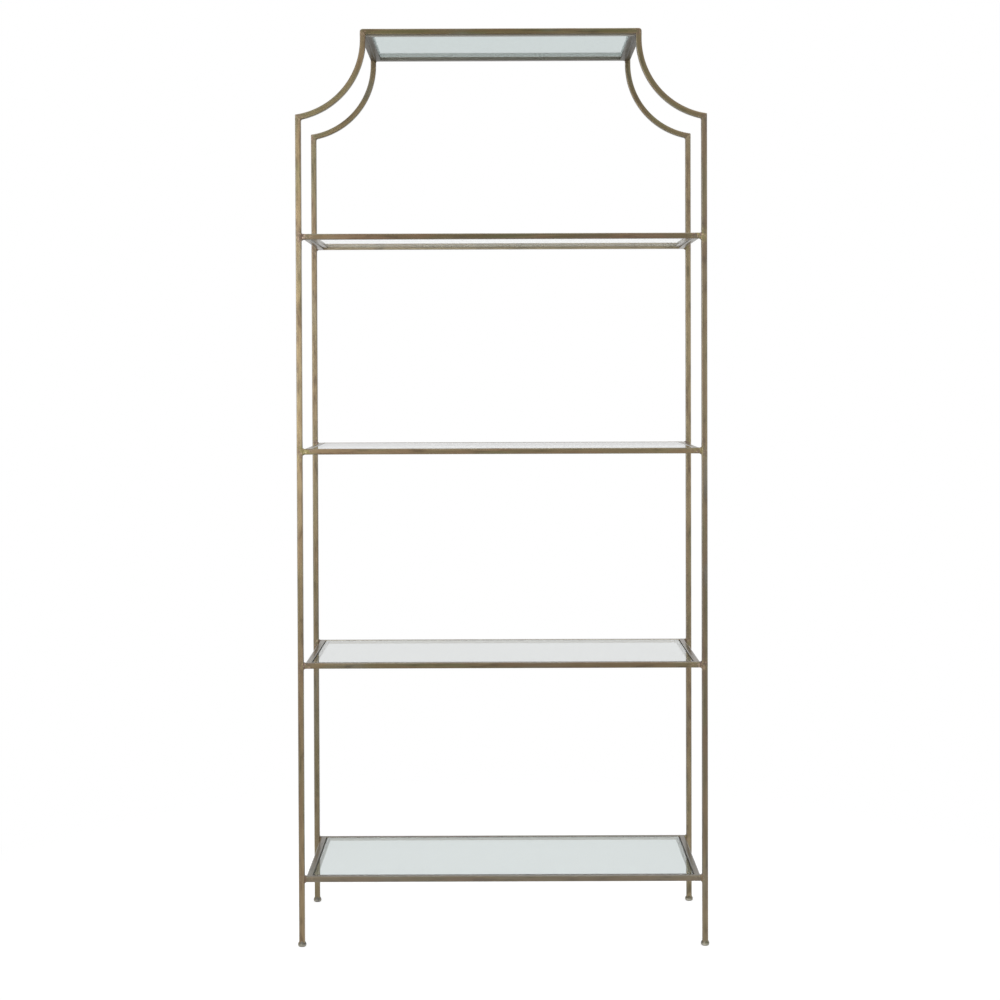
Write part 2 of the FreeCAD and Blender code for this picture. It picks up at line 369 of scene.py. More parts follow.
def shoulder(y):
    """Gives the left shoulder's outer and inner corner, its mitre's normal, and the
    centre of the sweep that starts there.
    """
    outer = np.array([-HALF_WIDTH, y, sweep_height(HALF_WIDTH, SWEEP_RADIUS)])
    inner_x = HALF_WIDTH - BAR
    inner = np.array([-inner_x, y, sweep_height(inner_x, SWEEP_RADIUS + BAR)])
    across = outer - inner
    centre = np.array([-SWEEP_CENTRE_X, y, SWEEP_CENTRE_Z])
    return outer, inner, unit([across[2], 0, -across[0]]), centre


def sweep_lines(y):
    """Turns the outline round the sweep's centre and up to the mitre with the top rail.

    A line at radius r meets the mitre's plane at the angle whose cosine, counted from
    the plane's own direction, is the centre's distance to the plane over r.
    """
    outer, _, normal, centre = shoulder(y)
    radii = SWEEP_RADIUS + HALF_BAR - bar_outline[:, 0]
    lean = math.atan2(normal[2], normal[0])
    widest = np.arccos((outer - centre) @ normal / radii) - lean
    middle_radius = SWEEP_RADIUS + HALF_BAR
    arc_length = middle_radius * widest.mean()
    length = arc_length + SWEEP_STRAIGHT - HALF_BAR
    along = stations(length)[:, None]
    angle = widest * np.clip(1 - along / arc_length, 0, 1)
    upright = SWEEP_STRAIGHT - HALF_BAR + bar_outline[:, 0]
    rise = upright * np.clip((along - arc_length) / (length - arc_length), 0, 1)
    x = centre[0] + radii * np.cos(angle)
    z = centre[2] - radii * np.sin(angle) + rise
    grid = np.stack([x, y - np.broadcast_to(bar_outline[:, 1], x.shape), z], axis=-1)
    return grid, np.broadcast_to(along, x.shape)


print("the shoulder's outer corner is", round(shoulder(0)[0][2] / MM, 1), "mm high")

# %% [markdown]
# ## What the metal remembers
#
# Brazing burns the finish near every joint, and a little metal runs over the bars
# there. A polished bar is lighter along its edges, and a painted highlight adds to that,
# most on the left and the upper edges. Hands rub some bars and dust settles on others,
# and no two joints come out alike; pale spots at the joints are painted highlights. Some
# bars carry painted shade, and others a painted sheen or a painted reflection. All this
# could be painted by hand on an unwrapped bar. Here it is a set of measures, numbers at
# each point of the grid, which the patina reads by name. Some follow from the shape.
# Those that belong to one bar are listed by the start of its name:
#
# - `edge_wear_and_highlight`: how bright an edge is worn, with a painted highlight on top that is
#   strongest on the left and the upper edges
# - `joint_heat_and_sole_shade` and `bloomed`: the stain round a joint, and how much of it turned
#   green;
#   on the feet the first is a painted shade towards the sole
# - `warmth`: browner above nothing, greener below it
# - `rubbed`, `dust_and_sheen`, `painted_shade`, `painted_reflection`: rubbed to straw; greyed by
#   dust and by a painted sheen; darkened as a painted shade; paled as a painted reflection
# - `dulled`: how far the lacquer has gone matt
#
# The streaks of the finish run along the bar and turn with it round the sweeps. So each
# point also keeps its place in the bar's own terms: across, up and along.

# %% Write down how each joint and bar has aged
HEAT_REACH = 16 * MM
SHELF_HEAT = (0.45, 0.8, 0.95, 1.0)
SHELF_BLOOM = {-1: (0.3, 0.35, 1.0, 0.15), 1: (0.3, 0.5, 0.6, 0.9)}
SHOULDER_HEAT = 0.4
TOP_HEAT = 0.45
OTHER_BLOOM = 0.3
HEATED, BLOOMED = 3, 4
RUBBED = {
    "leg_front_left": 0.50, "leg_front_right": 0.30, "leg_rear_left": 0.41, "leg_rear_right": 0.60,
    "crest_sweep_front_left": 0.30, "crest_sweep": 0.20, "crest_rail": 0.0, "top": 0.0,
    "upper_shelf_ledge": 0.3,
    "middle_shelf_ledge": 0.4, "lower_shelf_ledge": 0.6, "bottom_shelf_ledge": 0.6,
    "upper_shelf_rail_rear": 0.75, "upper": 0.0, "middle": 0.2, "lower": 0.05, "bottom": 0.22,
}
# Legs paler or darker by height; the lift near the floor is painted light from the white floor.
RUBBED_HEIGHTS = (0.00, 0.13, 0.36, 0.60, 0.82, 1.03, 1.30, 1.50, 1.75)
RUBBED_AND_FLOOR_LIT = (0.20, 0.18, -0.08, -0.15, -0.15, 0.07, 0.14, 0.08, -0.06)
ENDS_RUBBED = 0.22
# Painted highlight: worn edges are lighter still towards the upper left, where the light comes
# from.
HIGHLIGHT_FROM = np.array([-1.0, 0, 0.8])
UPPER_LEFT_HIGHLIGHT = 0.6
WARMTH = {
    "leg_front_left": 0.4, "leg_rear_left": -0.3, "crest_sweep_front_left": -0.15,
    "crest_sweep": -0.4, "crest_rail_front": -0.55, "bottom_shelf_rail_front": 0.25,
    "lower_shelf_rail_front": -0.3, "middle_shelf_rail_front": 0.2,
    "upper_shelf_rail_front": 0.15,
}
WARM_SIDE = np.array([-0.7, 0, -0.7])
WARM_MIDDLE = 0.15
WARM_REACH = 0.7
LEG_WARM_HEIGHTS = (0.5, 0.9)
EVEN_SHARES = {
    "dulled": {
        "crest_rail_left": 0.55, "crest_rail_right": 0.55, "crest_rail_front": 0.45,
        "top_shelf_ledge_left": 0.55, "top_shelf_ledge_right": 0.55,
    },
    # Greyed partly by dust, and partly as a painted sheen on faces seen at a glance, such as the
    # undersides in the head.
    "dust_and_sheen": {
        "bottom": 0.5, "top": 0.95, "crest_rail_left": 0.7, "crest_rail_right": 0.7,
        "leg_front_right": 0.2, "leg_rear": 0.15,
    },
    # Painted shade: whole bars darkened by an even share of the dark tone.
    "painted_shade": {
        "leg_front_right": 0.16, "leg_rear_left": 0.06, "leg_rear_right": 0.04,
        "crest_rail_front": 0.13, "upper_shelf_rail_front": 0.2, "middle": 0.05, "lower": 0.1,
        "bottom_shelf_rail_rear": 0.2,
    },
    # Painted reflection: ledges and rear rails seen through the glass are paled, as the mirrored
    # room pales them.
    "painted_reflection": {
        "bottom_shelf_ledge": 0.5, "lower_shelf_ledge": 0.3, "lower_shelf_rail_rear": 0.35,
        "upper_shelf_rail_rear": 0.15, "upper_shelf_ledge": 0.2, "top_shelf_ledge_front": 0.3,
    },
}


def listed_share(node, table):
    """Looks a bar's share up by the start of its name. A bar that isn't listed has none."""
    return next((value for start, value in table.items() if node.startswith(start)), 0)


print("the left front leg is rubbed by", listed_share("leg_front_left", RUBBED))

# %% Find the joints


def joint_places():
    """Lists every joint's place, how much it was heated, and how much of that bloomed.

    The shelf corners took the most braze. Some joints turned green when they were
    cleaned, and others stayed burnt.
    """
    places = []
    for x in (-1, 1):
        for y in (-LEG_Y, LEG_Y):
            for top, heat, bloom in zip(SHELF_TOPS.values(), SHELF_HEAT, SHELF_BLOOM[x]):
                places.append((x * SHELF_HALF_WIDTH, y, top - HALF_BAR, heat, heat * bloom))
            shoulder_z = shoulder(y)[1][2] + HALF_BAR
            for place_x, z, heat in (
                (LEG_X, shoulder_z, SHOULDER_HEAT), (CREST_END_X, CREST_RAIL_Z, TOP_HEAT)
            ):
                places.append((x * place_x, y, z, heat, heat * OTHER_BLOOM))
    return np.array(places)


JOINTS = joint_places()
print(len(JOINTS), "brazed joints")

# %% Work out the measures
PATINA_SPAN = 9


def heat_at(grid, kind=HEATED):
    """Gives the stain of a kind: the bell curve of the distance to a joint, times its share."""
    away = np.linalg.norm(grid[:, :, None, :] - JOINTS[:, :3], axis=-1)
    return (JOINTS[:, kind] * np.exp(-(away / HEAT_REACH) ** 2)).max(axis=-1)


def rubbed_share(node, grid, travel):
    """Tells how far the finish is rubbed back to pale brass, from nothing to one.

    Each bar has its own share. The legs are rubbed most where hands reach. Near the floor
    they are paler again, which is painted light from the white floor. The other bars are
    paler at their ends, by the square of the distance from the middle.
    """
    share = listed_share(node, RUBBED)
    if node.startswith("leg"):
        return share + np.interp(grid[..., 2], RUBBED_HEIGHTS, RUBBED_AND_FLOOR_LIT)
    if node.startswith("crest_sweep"):
        return np.full(grid.shape[:2], share)
    from_middle = 2 * travel / travel.max() - 1
    return share + ENDS_RUBBED * from_middle ** 2


def half_bars_towards(grid, side):
    """Tells how far a point lies from its ring's middle to a side, in half bars."""
    return (grid - grid.mean(axis=1, keepdims=True)) @ side / HALF_BAR


def worn_and_lit_edges(grid, edge):
    """Adds a painted highlight to worn edges, strongest on the left and upper edges.

    The highlight grows by a share of how far the point lies from its ring's middle
    towards the upper left, counted in half bars and cut off at one.
    """
    away = half_bars_towards(grid, HIGHLIGHT_FROM)
    return np.broadcast_to(edge, grid.shape[:2]) * (1 + UPPER_LEFT_HIGHLIGHT * np.clip(away, -1, 1))


def warmth_at(node, grid):
    """Tells how brown a bar is, above nothing, or how green, below it.

    It is the bar's listed share times a bell curve across the bar, which is highest a
    little to the left of its middle, or below it. On the legs it fades out upwards.
    """
    across = (half_bars_towards(grid, WARM_SIDE) - WARM_MIDDLE) / WARM_REACH
    warmth = listed_share(node, WARMTH) * np.exp(-across ** 2)
    if node.startswith("leg"):
        warmth = warmth * np.interp(grid[..., 2], LEG_WARM_HEIGHTS, (1, 0))
    return warmth


def bar_measures(node, grid, outline, edge, travel, seed):
    """Gathers a bar's measures. The seed moves each bar to its own part of the patina."""
    shift = np.random.default_rng(seed).uniform(-PATINA_SPAN, PATINA_SPAN, 3)
    shape = grid.shape[:2]
    axes = (outline[:, 0], outline[:, 1], travel)
    measures = {
        "bar_place": np.stack([np.broadcast_to(axis, shape) for axis in axes], axis=-1) + shift,
        "edge_wear_and_highlight": worn_and_lit_edges(grid, edge),
        "joint_heat_and_sole_shade": heat_at(grid),
        "bloomed": heat_at(grid, BLOOMED),
        "warmth": warmth_at(node, grid),
        "rubbed": np.broadcast_to(rubbed_share(node, grid, travel), shape),
    }
    for measure, table in EVEN_SHARES.items():
        measures[measure] = np.full(shape, listed_share(node, table))
    return measures


print("the stain reaches", round(HEAT_REACH / MM, 1), "mm from a joint")

# %% Let the braze run over the bars
RUN_HEIGHT = 0.22 * MM
RUN_SIZE = 7 * MM
RUN_SEED = 7
RUN_LEAST = 0.5
LUMP_WAVES = 7


def lumps(grid, size, seed):
    """Gives a smooth unevenness between about -1 and 1.

    It is the mean of several sine waves whose directions and starts are drawn from the
    seed, and whose length is the size of a lump.
    """
    draw = np.random.default_rng(seed)
    waves = draw.normal(size=(LUMP_WAVES, 3))
    waves *= 2 * math.pi / size / np.linalg.norm(waves, axis=1, keepdims=True)
    starts = draw.uniform(0, 2 * math.pi, LUMP_WAVES)
    return np.sin(grid @ waves.T + starts).mean(axis=-1) * 2


def lumpy(grid, height, size, seed):
    """Pushes a grid out and in along its normals by the lumps."""
    return grid + area_normals(grid) * (height * lumps(grid, size, seed))[..., None]


def run_over(grid):
    """Lets the braze run over a bar near its joints, in lumps that fade with the heat.

    All bars read the same lumps, so the metal is continuous where two bars meet.
    """
    relief = RUN_HEIGHT * heat_at(grid) * (RUN_LEAST + lumps(grid, RUN_SIZE, RUN_SEED))
    return grid + area_normals(grid) * relief[..., None]


print("lumps of", round(RUN_SIZE / MM, 1), "mm, up to", round(RUN_HEIGHT / MM, 2), "mm high")

# %% [markdown]
# ## Small helpers for materials
#
# A material is a graph of nodes, and building one in code is long if every node takes
# four lines. Each helper adds a node, feeds its inputs and hands back its result. A
# colour is written as a screen shows it and turned into the light that shaders count
# in.

# %% Helpers for nodes


def tone(red, green, blue):
    """Turns a screen colour, 0 to 255, into linear light by the screen's own curve."""
    share = np.array([red, green, blue]) / 255
    light = np.where(share <= 0.04045, share / 12.92, ((share + 0.055) / 1.055) ** 2.4)
    return (*light.tolist(), 1.0)


def feed(tree, socket, value):
    """Links a socket to a node's result, or sets it to a plain value."""
    if isinstance(value, bpy.types.NodeSocket):
        tree.links.new(value, socket)
    else:
        socket.default_value = value


def feed_inputs(tree, node, **inputs):
    """Feeds a node's inputs by name. An underscore stands for a space."""
    for name, value in inputs.items():
        feed(tree, node.inputs[name.replace("_", " ")], value)


def add_node(tree, kind, settings=None, **inputs):
    """Adds a shader node, sets its settings, and feeds its inputs."""
    node = tree.nodes.new("ShaderNode" + kind)
    for setting, value in (settings or {}).items():
        setattr(node, setting, value)
    feed_inputs(tree, node, **inputs)
    return node


def new_material(name):
    """Starts a material, and gives it with its tree of nodes and its shader."""
    material = bpy.data.materials.new(name)
    material.use_nodes = True
    tree = material.node_tree
    return material, tree, tree.nodes["Principled BSDF"]


print("mid grey 188 is", round(tone(188, 188, 188)[0], 2), "in linear light")

# %% Helpers for noises, values and colours


def noise(tree, place, scale, detail=2.0, roughness=0.5):
    """Adds a noise of the given number of clouds a metre, from 0 to about 1."""
    return add_node(
        tree, "TexNoise", Vector=place, Scale=scale, Detail=detail, Roughness=roughness
    ).outputs[0]


def streaks(tree, place, squeeze, detail=1.0, roughness=0.5):
    """Adds a noise that is squeezed along each axis by its own share, so it is streaked."""
    squeezed = add_node(
        tree, "Mapping", {"vector_type": "POINT"}, Vector=place, Scale=squeeze
    )
    return noise(tree, squeezed.outputs["Vector"], 1.0, detail, roughness)


def rising(tree, value, low, high):
    """Eases a value from 0 at low to 1 at high."""
    return add_node(
        tree, "MapRange", {"interpolation_type": "SMOOTHSTEP"},
        Value=value, From_Min=low, From_Max=high,
    ).outputs["Result"]


def joined(tree, operation, *values):
    """Joins values by an operation, such as a sum."""
    node = add_node(tree, "Math", {"operation": operation})
    for socket, value in zip(node.inputs, values):
        feed(tree, socket, value)
    return node.outputs["Value"]


def times(tree, first, second):
    """Multiplies two values."""
    return joined(tree, "MULTIPLY", first, second)


def weighted(tree, total, *parts):
    """Adds values to a total, each times its weight."""
    for value, weight in parts:
        total = joined(tree, "MULTIPLY_ADD", value, weight, total)
    return total


def layered(tree, colour, *layers):
    """Lays colours over a first one, each by its share from 0 to 1."""
    for share, over in layers:
        node = add_node(tree, "Mix", {"data_type": "RGBA"})
        colours = [socket for socket in node.inputs if socket.type == "RGBA"]
        for socket, value in zip((node.inputs[0], *colours), (share, colour, over)):
            feed(tree, socket, value)
        colour = next(socket for socket in node.outputs if socket.type == "RGBA")
    return colour


def part_of(tree, vector, axis):
    """Gives a vector's part along one axis."""
    return add_node(tree, "SeparateXYZ", Vector=vector).outputs[axis]


def rays_of(tree, *kinds):
    """Gives 1 for rays of some kinds, and 0 for others."""
    rays = add_node(tree, "LightPath").outputs
    share = rays[f"Is {kinds[0]} Ray"]
    for kind in kinds[1:]:
        share = joined(tree, "MAXIMUM", share, rays[f"Is {kind} Ray"])
    return share


def mixed_shaders(tree, share, first, second):
    """Goes from one shader to another by a share, and shows the result."""
    node = add_node(tree, "MixShader")
    for socket, value in zip(node.inputs, (share, first, second)):
        feed(tree, socket, value)
    tree.links.new(node.outputs["Shader"], tree.nodes["Material Output"].inputs["Surface"])


print("a noise of 120 a metre has clouds of", round(1 / 120 / MM, 1), "mm")

# %% [markdown]
# ## The aged finish of the brass
#
# The finish is an antiqued brass: a warm olive metal that drifts from straw to umber in
# long streaks. It is laid up much as the finisher lays it: a base tone that wanders along
# the bar, brown and straw rubbed in, dark specks in the grain, worn lighter edges with a
# painted highlight, and burnt brown with a greenish bloom where the torch has been, with
# pale rose spots there as painted highlights. Between them lie the layers that a bar's
# measures call for, such as its dust and painted sheen, its painted shade and its
# painted reflection.
#
# The bars, the ledges, the braze and the feet wear the same layers. An image for each
# would not stay sharp, so the layers are one node group, and each metal sets its own
# tones. The group also gives the roughness, the coat of lacquer, which is thinner where
# it has dulled, and the height of the fine relief.

# %% Build the patina group
BRASS_TONES = {
    "Base": (84, 75, 45), "Brown": (104, 78, 56), "Straw": (146, 130, 97),
    "Grey": (95, 92, 84), "Green": (83, 83, 50), "Dark": (60, 49, 32), "Burnt": (92, 67, 60),
    # Rose paints highlights near the joints, and Edge carries the painted highlight of worn edges.
    "Bloom": (134, 128, 72), "Rose": (176, 150, 128), "Edge": (124, 115, 97),
    "Pale": (206, 203, 190),
}
MEASURES = (
    "edge_wear_and_highlight", "joint_heat_and_sole_shade", "bloomed", "warmth", "rubbed", "dust_and_sheen", "painted_shade", "painted_reflection",
    "dulled",
)
LACQUER = 0.6
BARE_ROUGHNESS = 0.24


def patina_group():
    """Lays tones over each other by noises that are read in the bar's own place."""
    tree = bpy.data.node_groups.new("aged_patina", "ShaderNodeTree")
    sockets = [("INPUT", "bar_place", "Vector")]
    sockets += [("INPUT", measure, "Float") for measure in MEASURES]
    sockets += [("INPUT", part + " tone", "Color") for part in BRASS_TONES]
    sockets += [("OUTPUT", "Colour", "Color")]
    sockets += [("OUTPUT", result, "Float") for result in ("Roughness", "Coat", "Height")]
    for way, name, kind in sockets:
        tree.interface.new_socket(name, in_out=way, socket_type="NodeSocket" + kind)
    given = tree.nodes.new("NodeGroupInput").outputs
    result = tree.nodes.new("NodeGroupOutput").inputs
    place = given["bar_place"]

    drift = streaks(tree, place, (45, 45, 9))
    far_drift = streaks(tree, place, (-35, 35, -7))
    streak = streaks(tree, place, (210, 210, 8), 2.0)
    warm_streak = streaks(tree, place, (-150, 150, -6))
    cloud = streaks(tree, place, (100, 100, 22), 2.0)
    grain = streaks(tree, place, (2600, 2600, 90), 2.0)
    speck = streaks(tree, place, (800, 800, 300), 2.0, 0.6)
    far_patch = streaks(tree, place, (-100, 100, -70))
    patch = noise(tree, place, 120.0, 1.0)
    highlight_blotch = noise(tree, place, 230.0, 1.0)

    def where(measure, cause, low, high):
        return times(tree, given[measure], rising(tree, cause, low, high))

    # On the feet the joint heat carries a painted shade towards the sole instead.
    heat, warmth, dulled = given["joint_heat_and_sole_shade"], given["warmth"], given["dulled"]
    # Worn edges, lighter along their rounding, with a painted highlight on them.
    wear = where("edge_wear_and_highlight", drift, 0.8, 0.25)
    specks = times(tree, rising(tree, speck, 0.62, 0.78), 0.35)
    # Dark clouds in the patina, with the painted shade of whole bars added.
    dark = weighted(tree, given["painted_shade"], (rising(tree, cloud, 0.53, 0.74), 0.4))
    layers = (
        (rising(tree, far_drift, 0.5, 0.68), "Green"),
        (rising(tree, far_drift, 0.47, 0.3), "Grey"),
        (times(tree, rising(tree, drift, 0.44, 0.62), 0.8), "Brown"),
        (times(tree, rising(tree, warm_streak, 0.45, 0.65), 0.55), "Brown"),
        (times(tree, where("rubbed", cloud, 1.0, 0.15), 1.6), "Straw"),
        (times(tree, rising(tree, streak, 0.5, 0.74), 0.4), "Straw"),
        (warmth, "Brown"),
        (times(tree, warmth, -1), "Green"),
        (dark, "Dark"),
        (specks, "Dark"),
        (times(tree, wear, 0.75), "Edge"),
        # Dust, and a painted sheen, grey the bar.
        (given["dust_and_sheen"], "Grey"),
        # Painted reflection: the pale tone over ledges and rails seen through the glass.
        (given["painted_reflection"], "Pale"),
        (times(tree, heat, 0.5), "Grey"),
        (times(tree, where("joint_heat_and_sole_shade", patch, 0.54, 0.43), 0.9), "Burnt"),
        (times(tree, where("bloomed", far_patch, 0.4, 0.56), 0.85), "Bloom"),
        # Pale rose blotches near the joints are painted highlights on the braze and the bar ends.
        (times(tree, where("joint_heat_and_sole_shade", highlight_blotch, 0.57, 0.66), 0.75), "Rose"),
    )
    layers = [(share, given[name + " tone"]) for share, name in layers]

    relief = ((grain, 0.1), (specks, -0.3), (cloud, 0.8))
    rough_parts = ((cloud, 0.22), (heat, 0.12), (wear, -0.08), (dulled, 0.3))
    feed(tree, result["Colour"], layered(tree, given["Base tone"], *layers))
    feed(tree, result["Roughness"], weighted(tree, BARE_ROUGHNESS, *rough_parts))
    feed(tree, result["Coat"], weighted(tree, LACQUER, (dulled, -LACQUER)))
    feed(tree, result["Height"], weighted(tree, 0.0, *relief))
    return tree


aged_patina = patina_group()
print("the patina has", len(aged_patina.nodes), "nodes")

# %% [markdown]
# ## The metals
#
# Old brass under its patina is still a metal, so its colour lives in the reflection. At
# a glancing angle a plain metal turns white, and the inner sides of the legs would
# shine. Dirt takes that away, which the specular tint does, and a clear coat stands for
# the lacquer. The braze is browner and its relief is deeper. The feet are smoother.
#
# A metal reads only the measures that its pieces keep. Where no lacquer has dulled, the
# coat is one plain number on the shader.

# %% Make the brass, the braze and the feet's metal
GLANCING_TINT = (0.8, 0.81, 0.82, 1)
LACQUER_ROUGHNESS = 0.2
BUMP_HEIGHT = 0.15 * MM


def metal(name, measures, bump, metallic, **tones):
    """Makes a metal from the patina group and some measures, with its relief as a bump.

    Its tones are those of the brass, unless others are given.
    """
    material, tree, shader = new_material(name)
    patina = add_node(tree, "Group", {"node_tree": aged_patina})
    for measure in ("bar_place", *measures):
        kept = add_node(tree, "Attribute", {"attribute_name": measure})
        result = "Vector" if measure == "bar_place" else "Fac"
        feed(tree, patina.inputs[measure], kept.outputs[result])
    for part, colour in {**BRASS_TONES, **tones}.items():
        patina.inputs[part + " tone"].default_value = tone(*colour)
    relief = add_node(
        tree, "Bump", Strength=bump, Distance=BUMP_HEIGHT, Height=patina.outputs["Height"]
    )
    feed_inputs(
        tree, shader, Metallic=metallic, Specular_Tint=GLANCING_TINT,
        Coat_Roughness=LACQUER_ROUGHNESS, Base_Color=patina.outputs["Colour"],
        Roughness=patina.outputs["Roughness"], Normal=relief.outputs["Normal"],
        Coat_Weight=patina.outputs["Coat"] if "dulled" in measures else LACQUER,
    )
    return material


antique_brass = metal("antique_brass", MEASURES, bump=0.35, metallic=0.9)
print("made", antique_brass.name)

# %% [markdown]
# ## The bars
#
# Each solid bar is hidden behind a dressed one. The two end frames are alike, and so
# are their left and right sides. The pieces on the right are those on the left turned
# half a turn about the middle: a mirror would turn them inside out.

# %% Make the legs, the sweeps and the top rails
SHOULDER_ROUND = 1.6 * MM
OUTLINE_DEPTHS = HALF_BAR - bar_outline[:, 0]
LEFT = np.array([-1.0, 0, 0])
UP = np.array([0, 0, 1.0])
HALF_TURN = np.array([-1.0, -1.0, 1.0])
ROWS = (("front", "rear", -LEG_Y), ("rear", "front", LEG_Y))
made_bars = []


def add_bar(node, grid, travel, outline, edge, ending):
    """Adds a dressed bar that stands for the solid of that name."""
    if ending == "_bar":
        grid = run_over(grid)
    measures = bar_measures(node, grid, outline, edge, travel, len(made_bars))
    piece = add_piece(node + ending, grid, antique_brass, "frame", measures)
    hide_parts(node)
    made_bars.append(piece)


def add_pair(node, opposite, grid, travel, outline=bar_outline, edge=bar_edge, ending="_bar"):
    """Adds a bar, and the one opposite it, which is the same turned half a turn."""
    add_bar(node, grid, travel, outline, edge, ending)
    add_bar(opposite, grid * HALF_TURN, travel, outline, edge, ending)


def file_shoulder(grid, y):
    """Files the outer corner between the leg and the sweep."""
    outer, _, _, centre = shoulder(y)
    return file_corner(grid, OUTLINE_DEPTHS, outer, LEFT, centre - outer, SHOULDER_ROUND)


def file_top_corner(grid, y, side=-1):
    """Files the outer corner between a sweep and the top rail, left or right."""
    corner = np.array([side * CREST_HALF_WIDTH, y, TOP])
    return file_corner(grid, OUTLINE_DEPTHS, corner, (side, 0, 0), UP, CORNER_RADIUS)


for row, opposite_row, y in ROWS:
    outer, inner, mitre, _ = shoulder(y)
    foot_end = np.array([-LEG_X, y, FOOT_HEIGHT])
    shoulder_end = np.array([-LEG_X, y, (outer[2] + inner[2]) / 2])
    grid, travel = straight_lines(
        foot_end, shoulder_end, LEFT, bar_outline, (foot_end, UP), (outer, mitre),
        [top - HALF_BAR - FOOT_HEIGHT for top in SHELF_TOPS.values()],
    )
    add_pair(f"leg_{row}_left", f"leg_{opposite_row}_right", file_shoulder(grid, y), travel)
    grid, travel = sweep_lines(y)
    grid = file_top_corner(file_shoulder(grid, y), y)
    add_pair(f"crest_sweep_{row}_left", f"crest_sweep_{opposite_row}_right", grid, travel)

rail_start = np.array([-CREST_END_X, -LEG_Y, CREST_RAIL_Z])
rail_end = rail_start * (-1, 1, 1)
grid, travel = straight_lines(
    rail_start, rail_end, UP, bar_outline,
    (rail_start, unit([1, 0, 1])), (rail_end, unit([1, 0, -1])),
)
grid = file_top_corner(file_top_corner(grid, -LEG_Y), -LEG_Y, side=1)
add_pair("crest_rail_front", "crest_rail_rear", grid, travel)

tie_start = np.array([-CREST_END_X, BAR - HALF_DEPTH, CREST_RAIL_Z])
tie_end = tie_start * (1, -1, 1)
along_y = np.array([0, 1.0, 0])
grid, travel = straight_lines(
    tie_start, tie_end, UP, bar_outline, (tie_start, along_y), (tie_end, along_y)
)
add_pair("crest_rail_left", "crest_rail_right", grid, travel)
print(len(made_bars), "bars in the two end frames and the head")

# %% [markdown]
# ## The shelf frames and their ledges
#
# A shelf frame is four bars with flat mitres. The ledge inside it is a strip of the
# same brass with eased edges, so its outline is the same rounded rectangle with other
# sizes, and one function makes both rings.
#
# A pane lies flat on its ledge. Two surfaces in one plane would flicker, so each strip
# is a hair thinner than its solid, which leaves that much air under the glass.

# %% Make the shelf frames
SHELF_CORNER_ROUND = 1.4 * MM
LEDGE_EDGE = 0.45 * MM
HEAD_LEDGE_EDGE = 1.5 * MM
GLASS_AIR = 0.15 * MM


def ring_of_bars(name, half_x, half_y, level, outline, edge, corner_round, ending):
    """Makes four mitred bars round a rectangle, whose outer size is given.

    The front and the left bar run along their centre lines and end on the diagonals, and
    half a turn gives the other two. The outline's first axis points out of the ring.
    """
    depth = outline[:, 0].max()
    front_left = np.array([-half_x, -half_y, level])
    front_right = front_left * (-1, 1, 1)
    rear_left = front_left * (1, -1, 1)
    for side, opposite, first, last, outward in (
        ("front", "rear", front_left, front_right, (0, -1, 0)),
        ("left", "right", rear_left, front_left, LEFT),
    ):
        mitred = []
        for corner in (first, last):
            x, y = np.sign(corner[:2])
            mitred.append((corner - depth * np.array([x, y, 0]), (corner, unit([1, -x * y, 0]))))
        (start, start_plane), (end, end_plane) = mitred
        grid, travel = straight_lines(start, end, outward, outline, start_plane, end_plane)
        for corner in (first, last):
            faces = np.diag(np.sign(corner))[:2]
            grid = file_corner(grid, depth - outline[:, 0], corner, *faces, corner_round)
        add_pair(f"{name}_{side}", f"{name}_{opposite}", grid, travel, outline, edge, ending)


for name, top in SHELF_TOPS.items():
    ring_of_bars(
        name + "_shelf_rail", SHELF_HALF_WIDTH, HALF_DEPTH, top - HALF_BAR,
        bar_outline, bar_edge, SHELF_CORNER_ROUND, "_bar",
    )

for name in (*WIDE_SHELVES, "top"):
    low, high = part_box(name + "_shelf_ledge_front")
    left_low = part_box(name + "_shelf_ledge_left")[0]
    width = high.y - low.y
    thickness = high.z - low.z - GLASS_AIR
    eased = HEAD_LEDGE_EDGE if name == "top" else LEDGE_EDGE
    strip_outline, strip_edge = rounded_section(width / 2, thickness / 2, eased, 1)
    ring_of_bars(
        name + "_shelf_ledge", -left_low.x, -low.y, (low.z + high.z - GLASS_AIR) / 2,
        strip_outline, strip_edge, eased, "_strip",
    )

print(len(made_bars), "bars and strips")

# %% [markdown]
# ## The brazed joints
#
# A shelf frame stands a few millimetres off the legs, and a lump of brazing metal fills
# the gap and creeps up and down the leg. Such a lump could be sculpted, or grown with
# metaballs. Here it is a tube whose outline is nearly a square at the bar's end and
# swells into a hollow fillet on the leg, gently lumpy. It starts inside the bar and
# ends inside the leg, so that no seam shows.
#
# The mitres at the shoulders and the top corners have a small hollow fillet of braze on
# their inside.

# %% Shape the lumps of braze
BRIDGE_RINGS = 22
BRIDGE_LINES = 40
BRIDGE_SQUARENESS = 0.42
RAIL_SINK = 3.4 * MM
LEG_SINK = 0.8 * MM
BRIDGE_HALF_HEIGHT = 6.1 * MM
BRIDGE_HALF_DEPTH = 5.9 * MM
BRIDGE_CREEP_UP = 4.2 * MM
BRIDGE_CREEP_DOWN = 6.8 * MM
BRIDGE_SPREAD = 0.4 * MM
FULL_SWELL = 0.995
INNER_RINGS = 17
INNER_LINES = 13
INNER_REACH = 3.6 * MM
INNER_SINK = 0.6 * MM
INNER_HOLLOW = 0.42
INNER_SHRINK = 0.94
INNER_HALF_LENGTH = HALF_BAR - EDGE_RADIUS * 0.8
BRIDGE_LUMPS = (0.32 * MM, 4.5 * MM)
INNER_LUMPS = (0.2 * MM, 5 * MM)
FIRST_BRAZE_SEED = 100


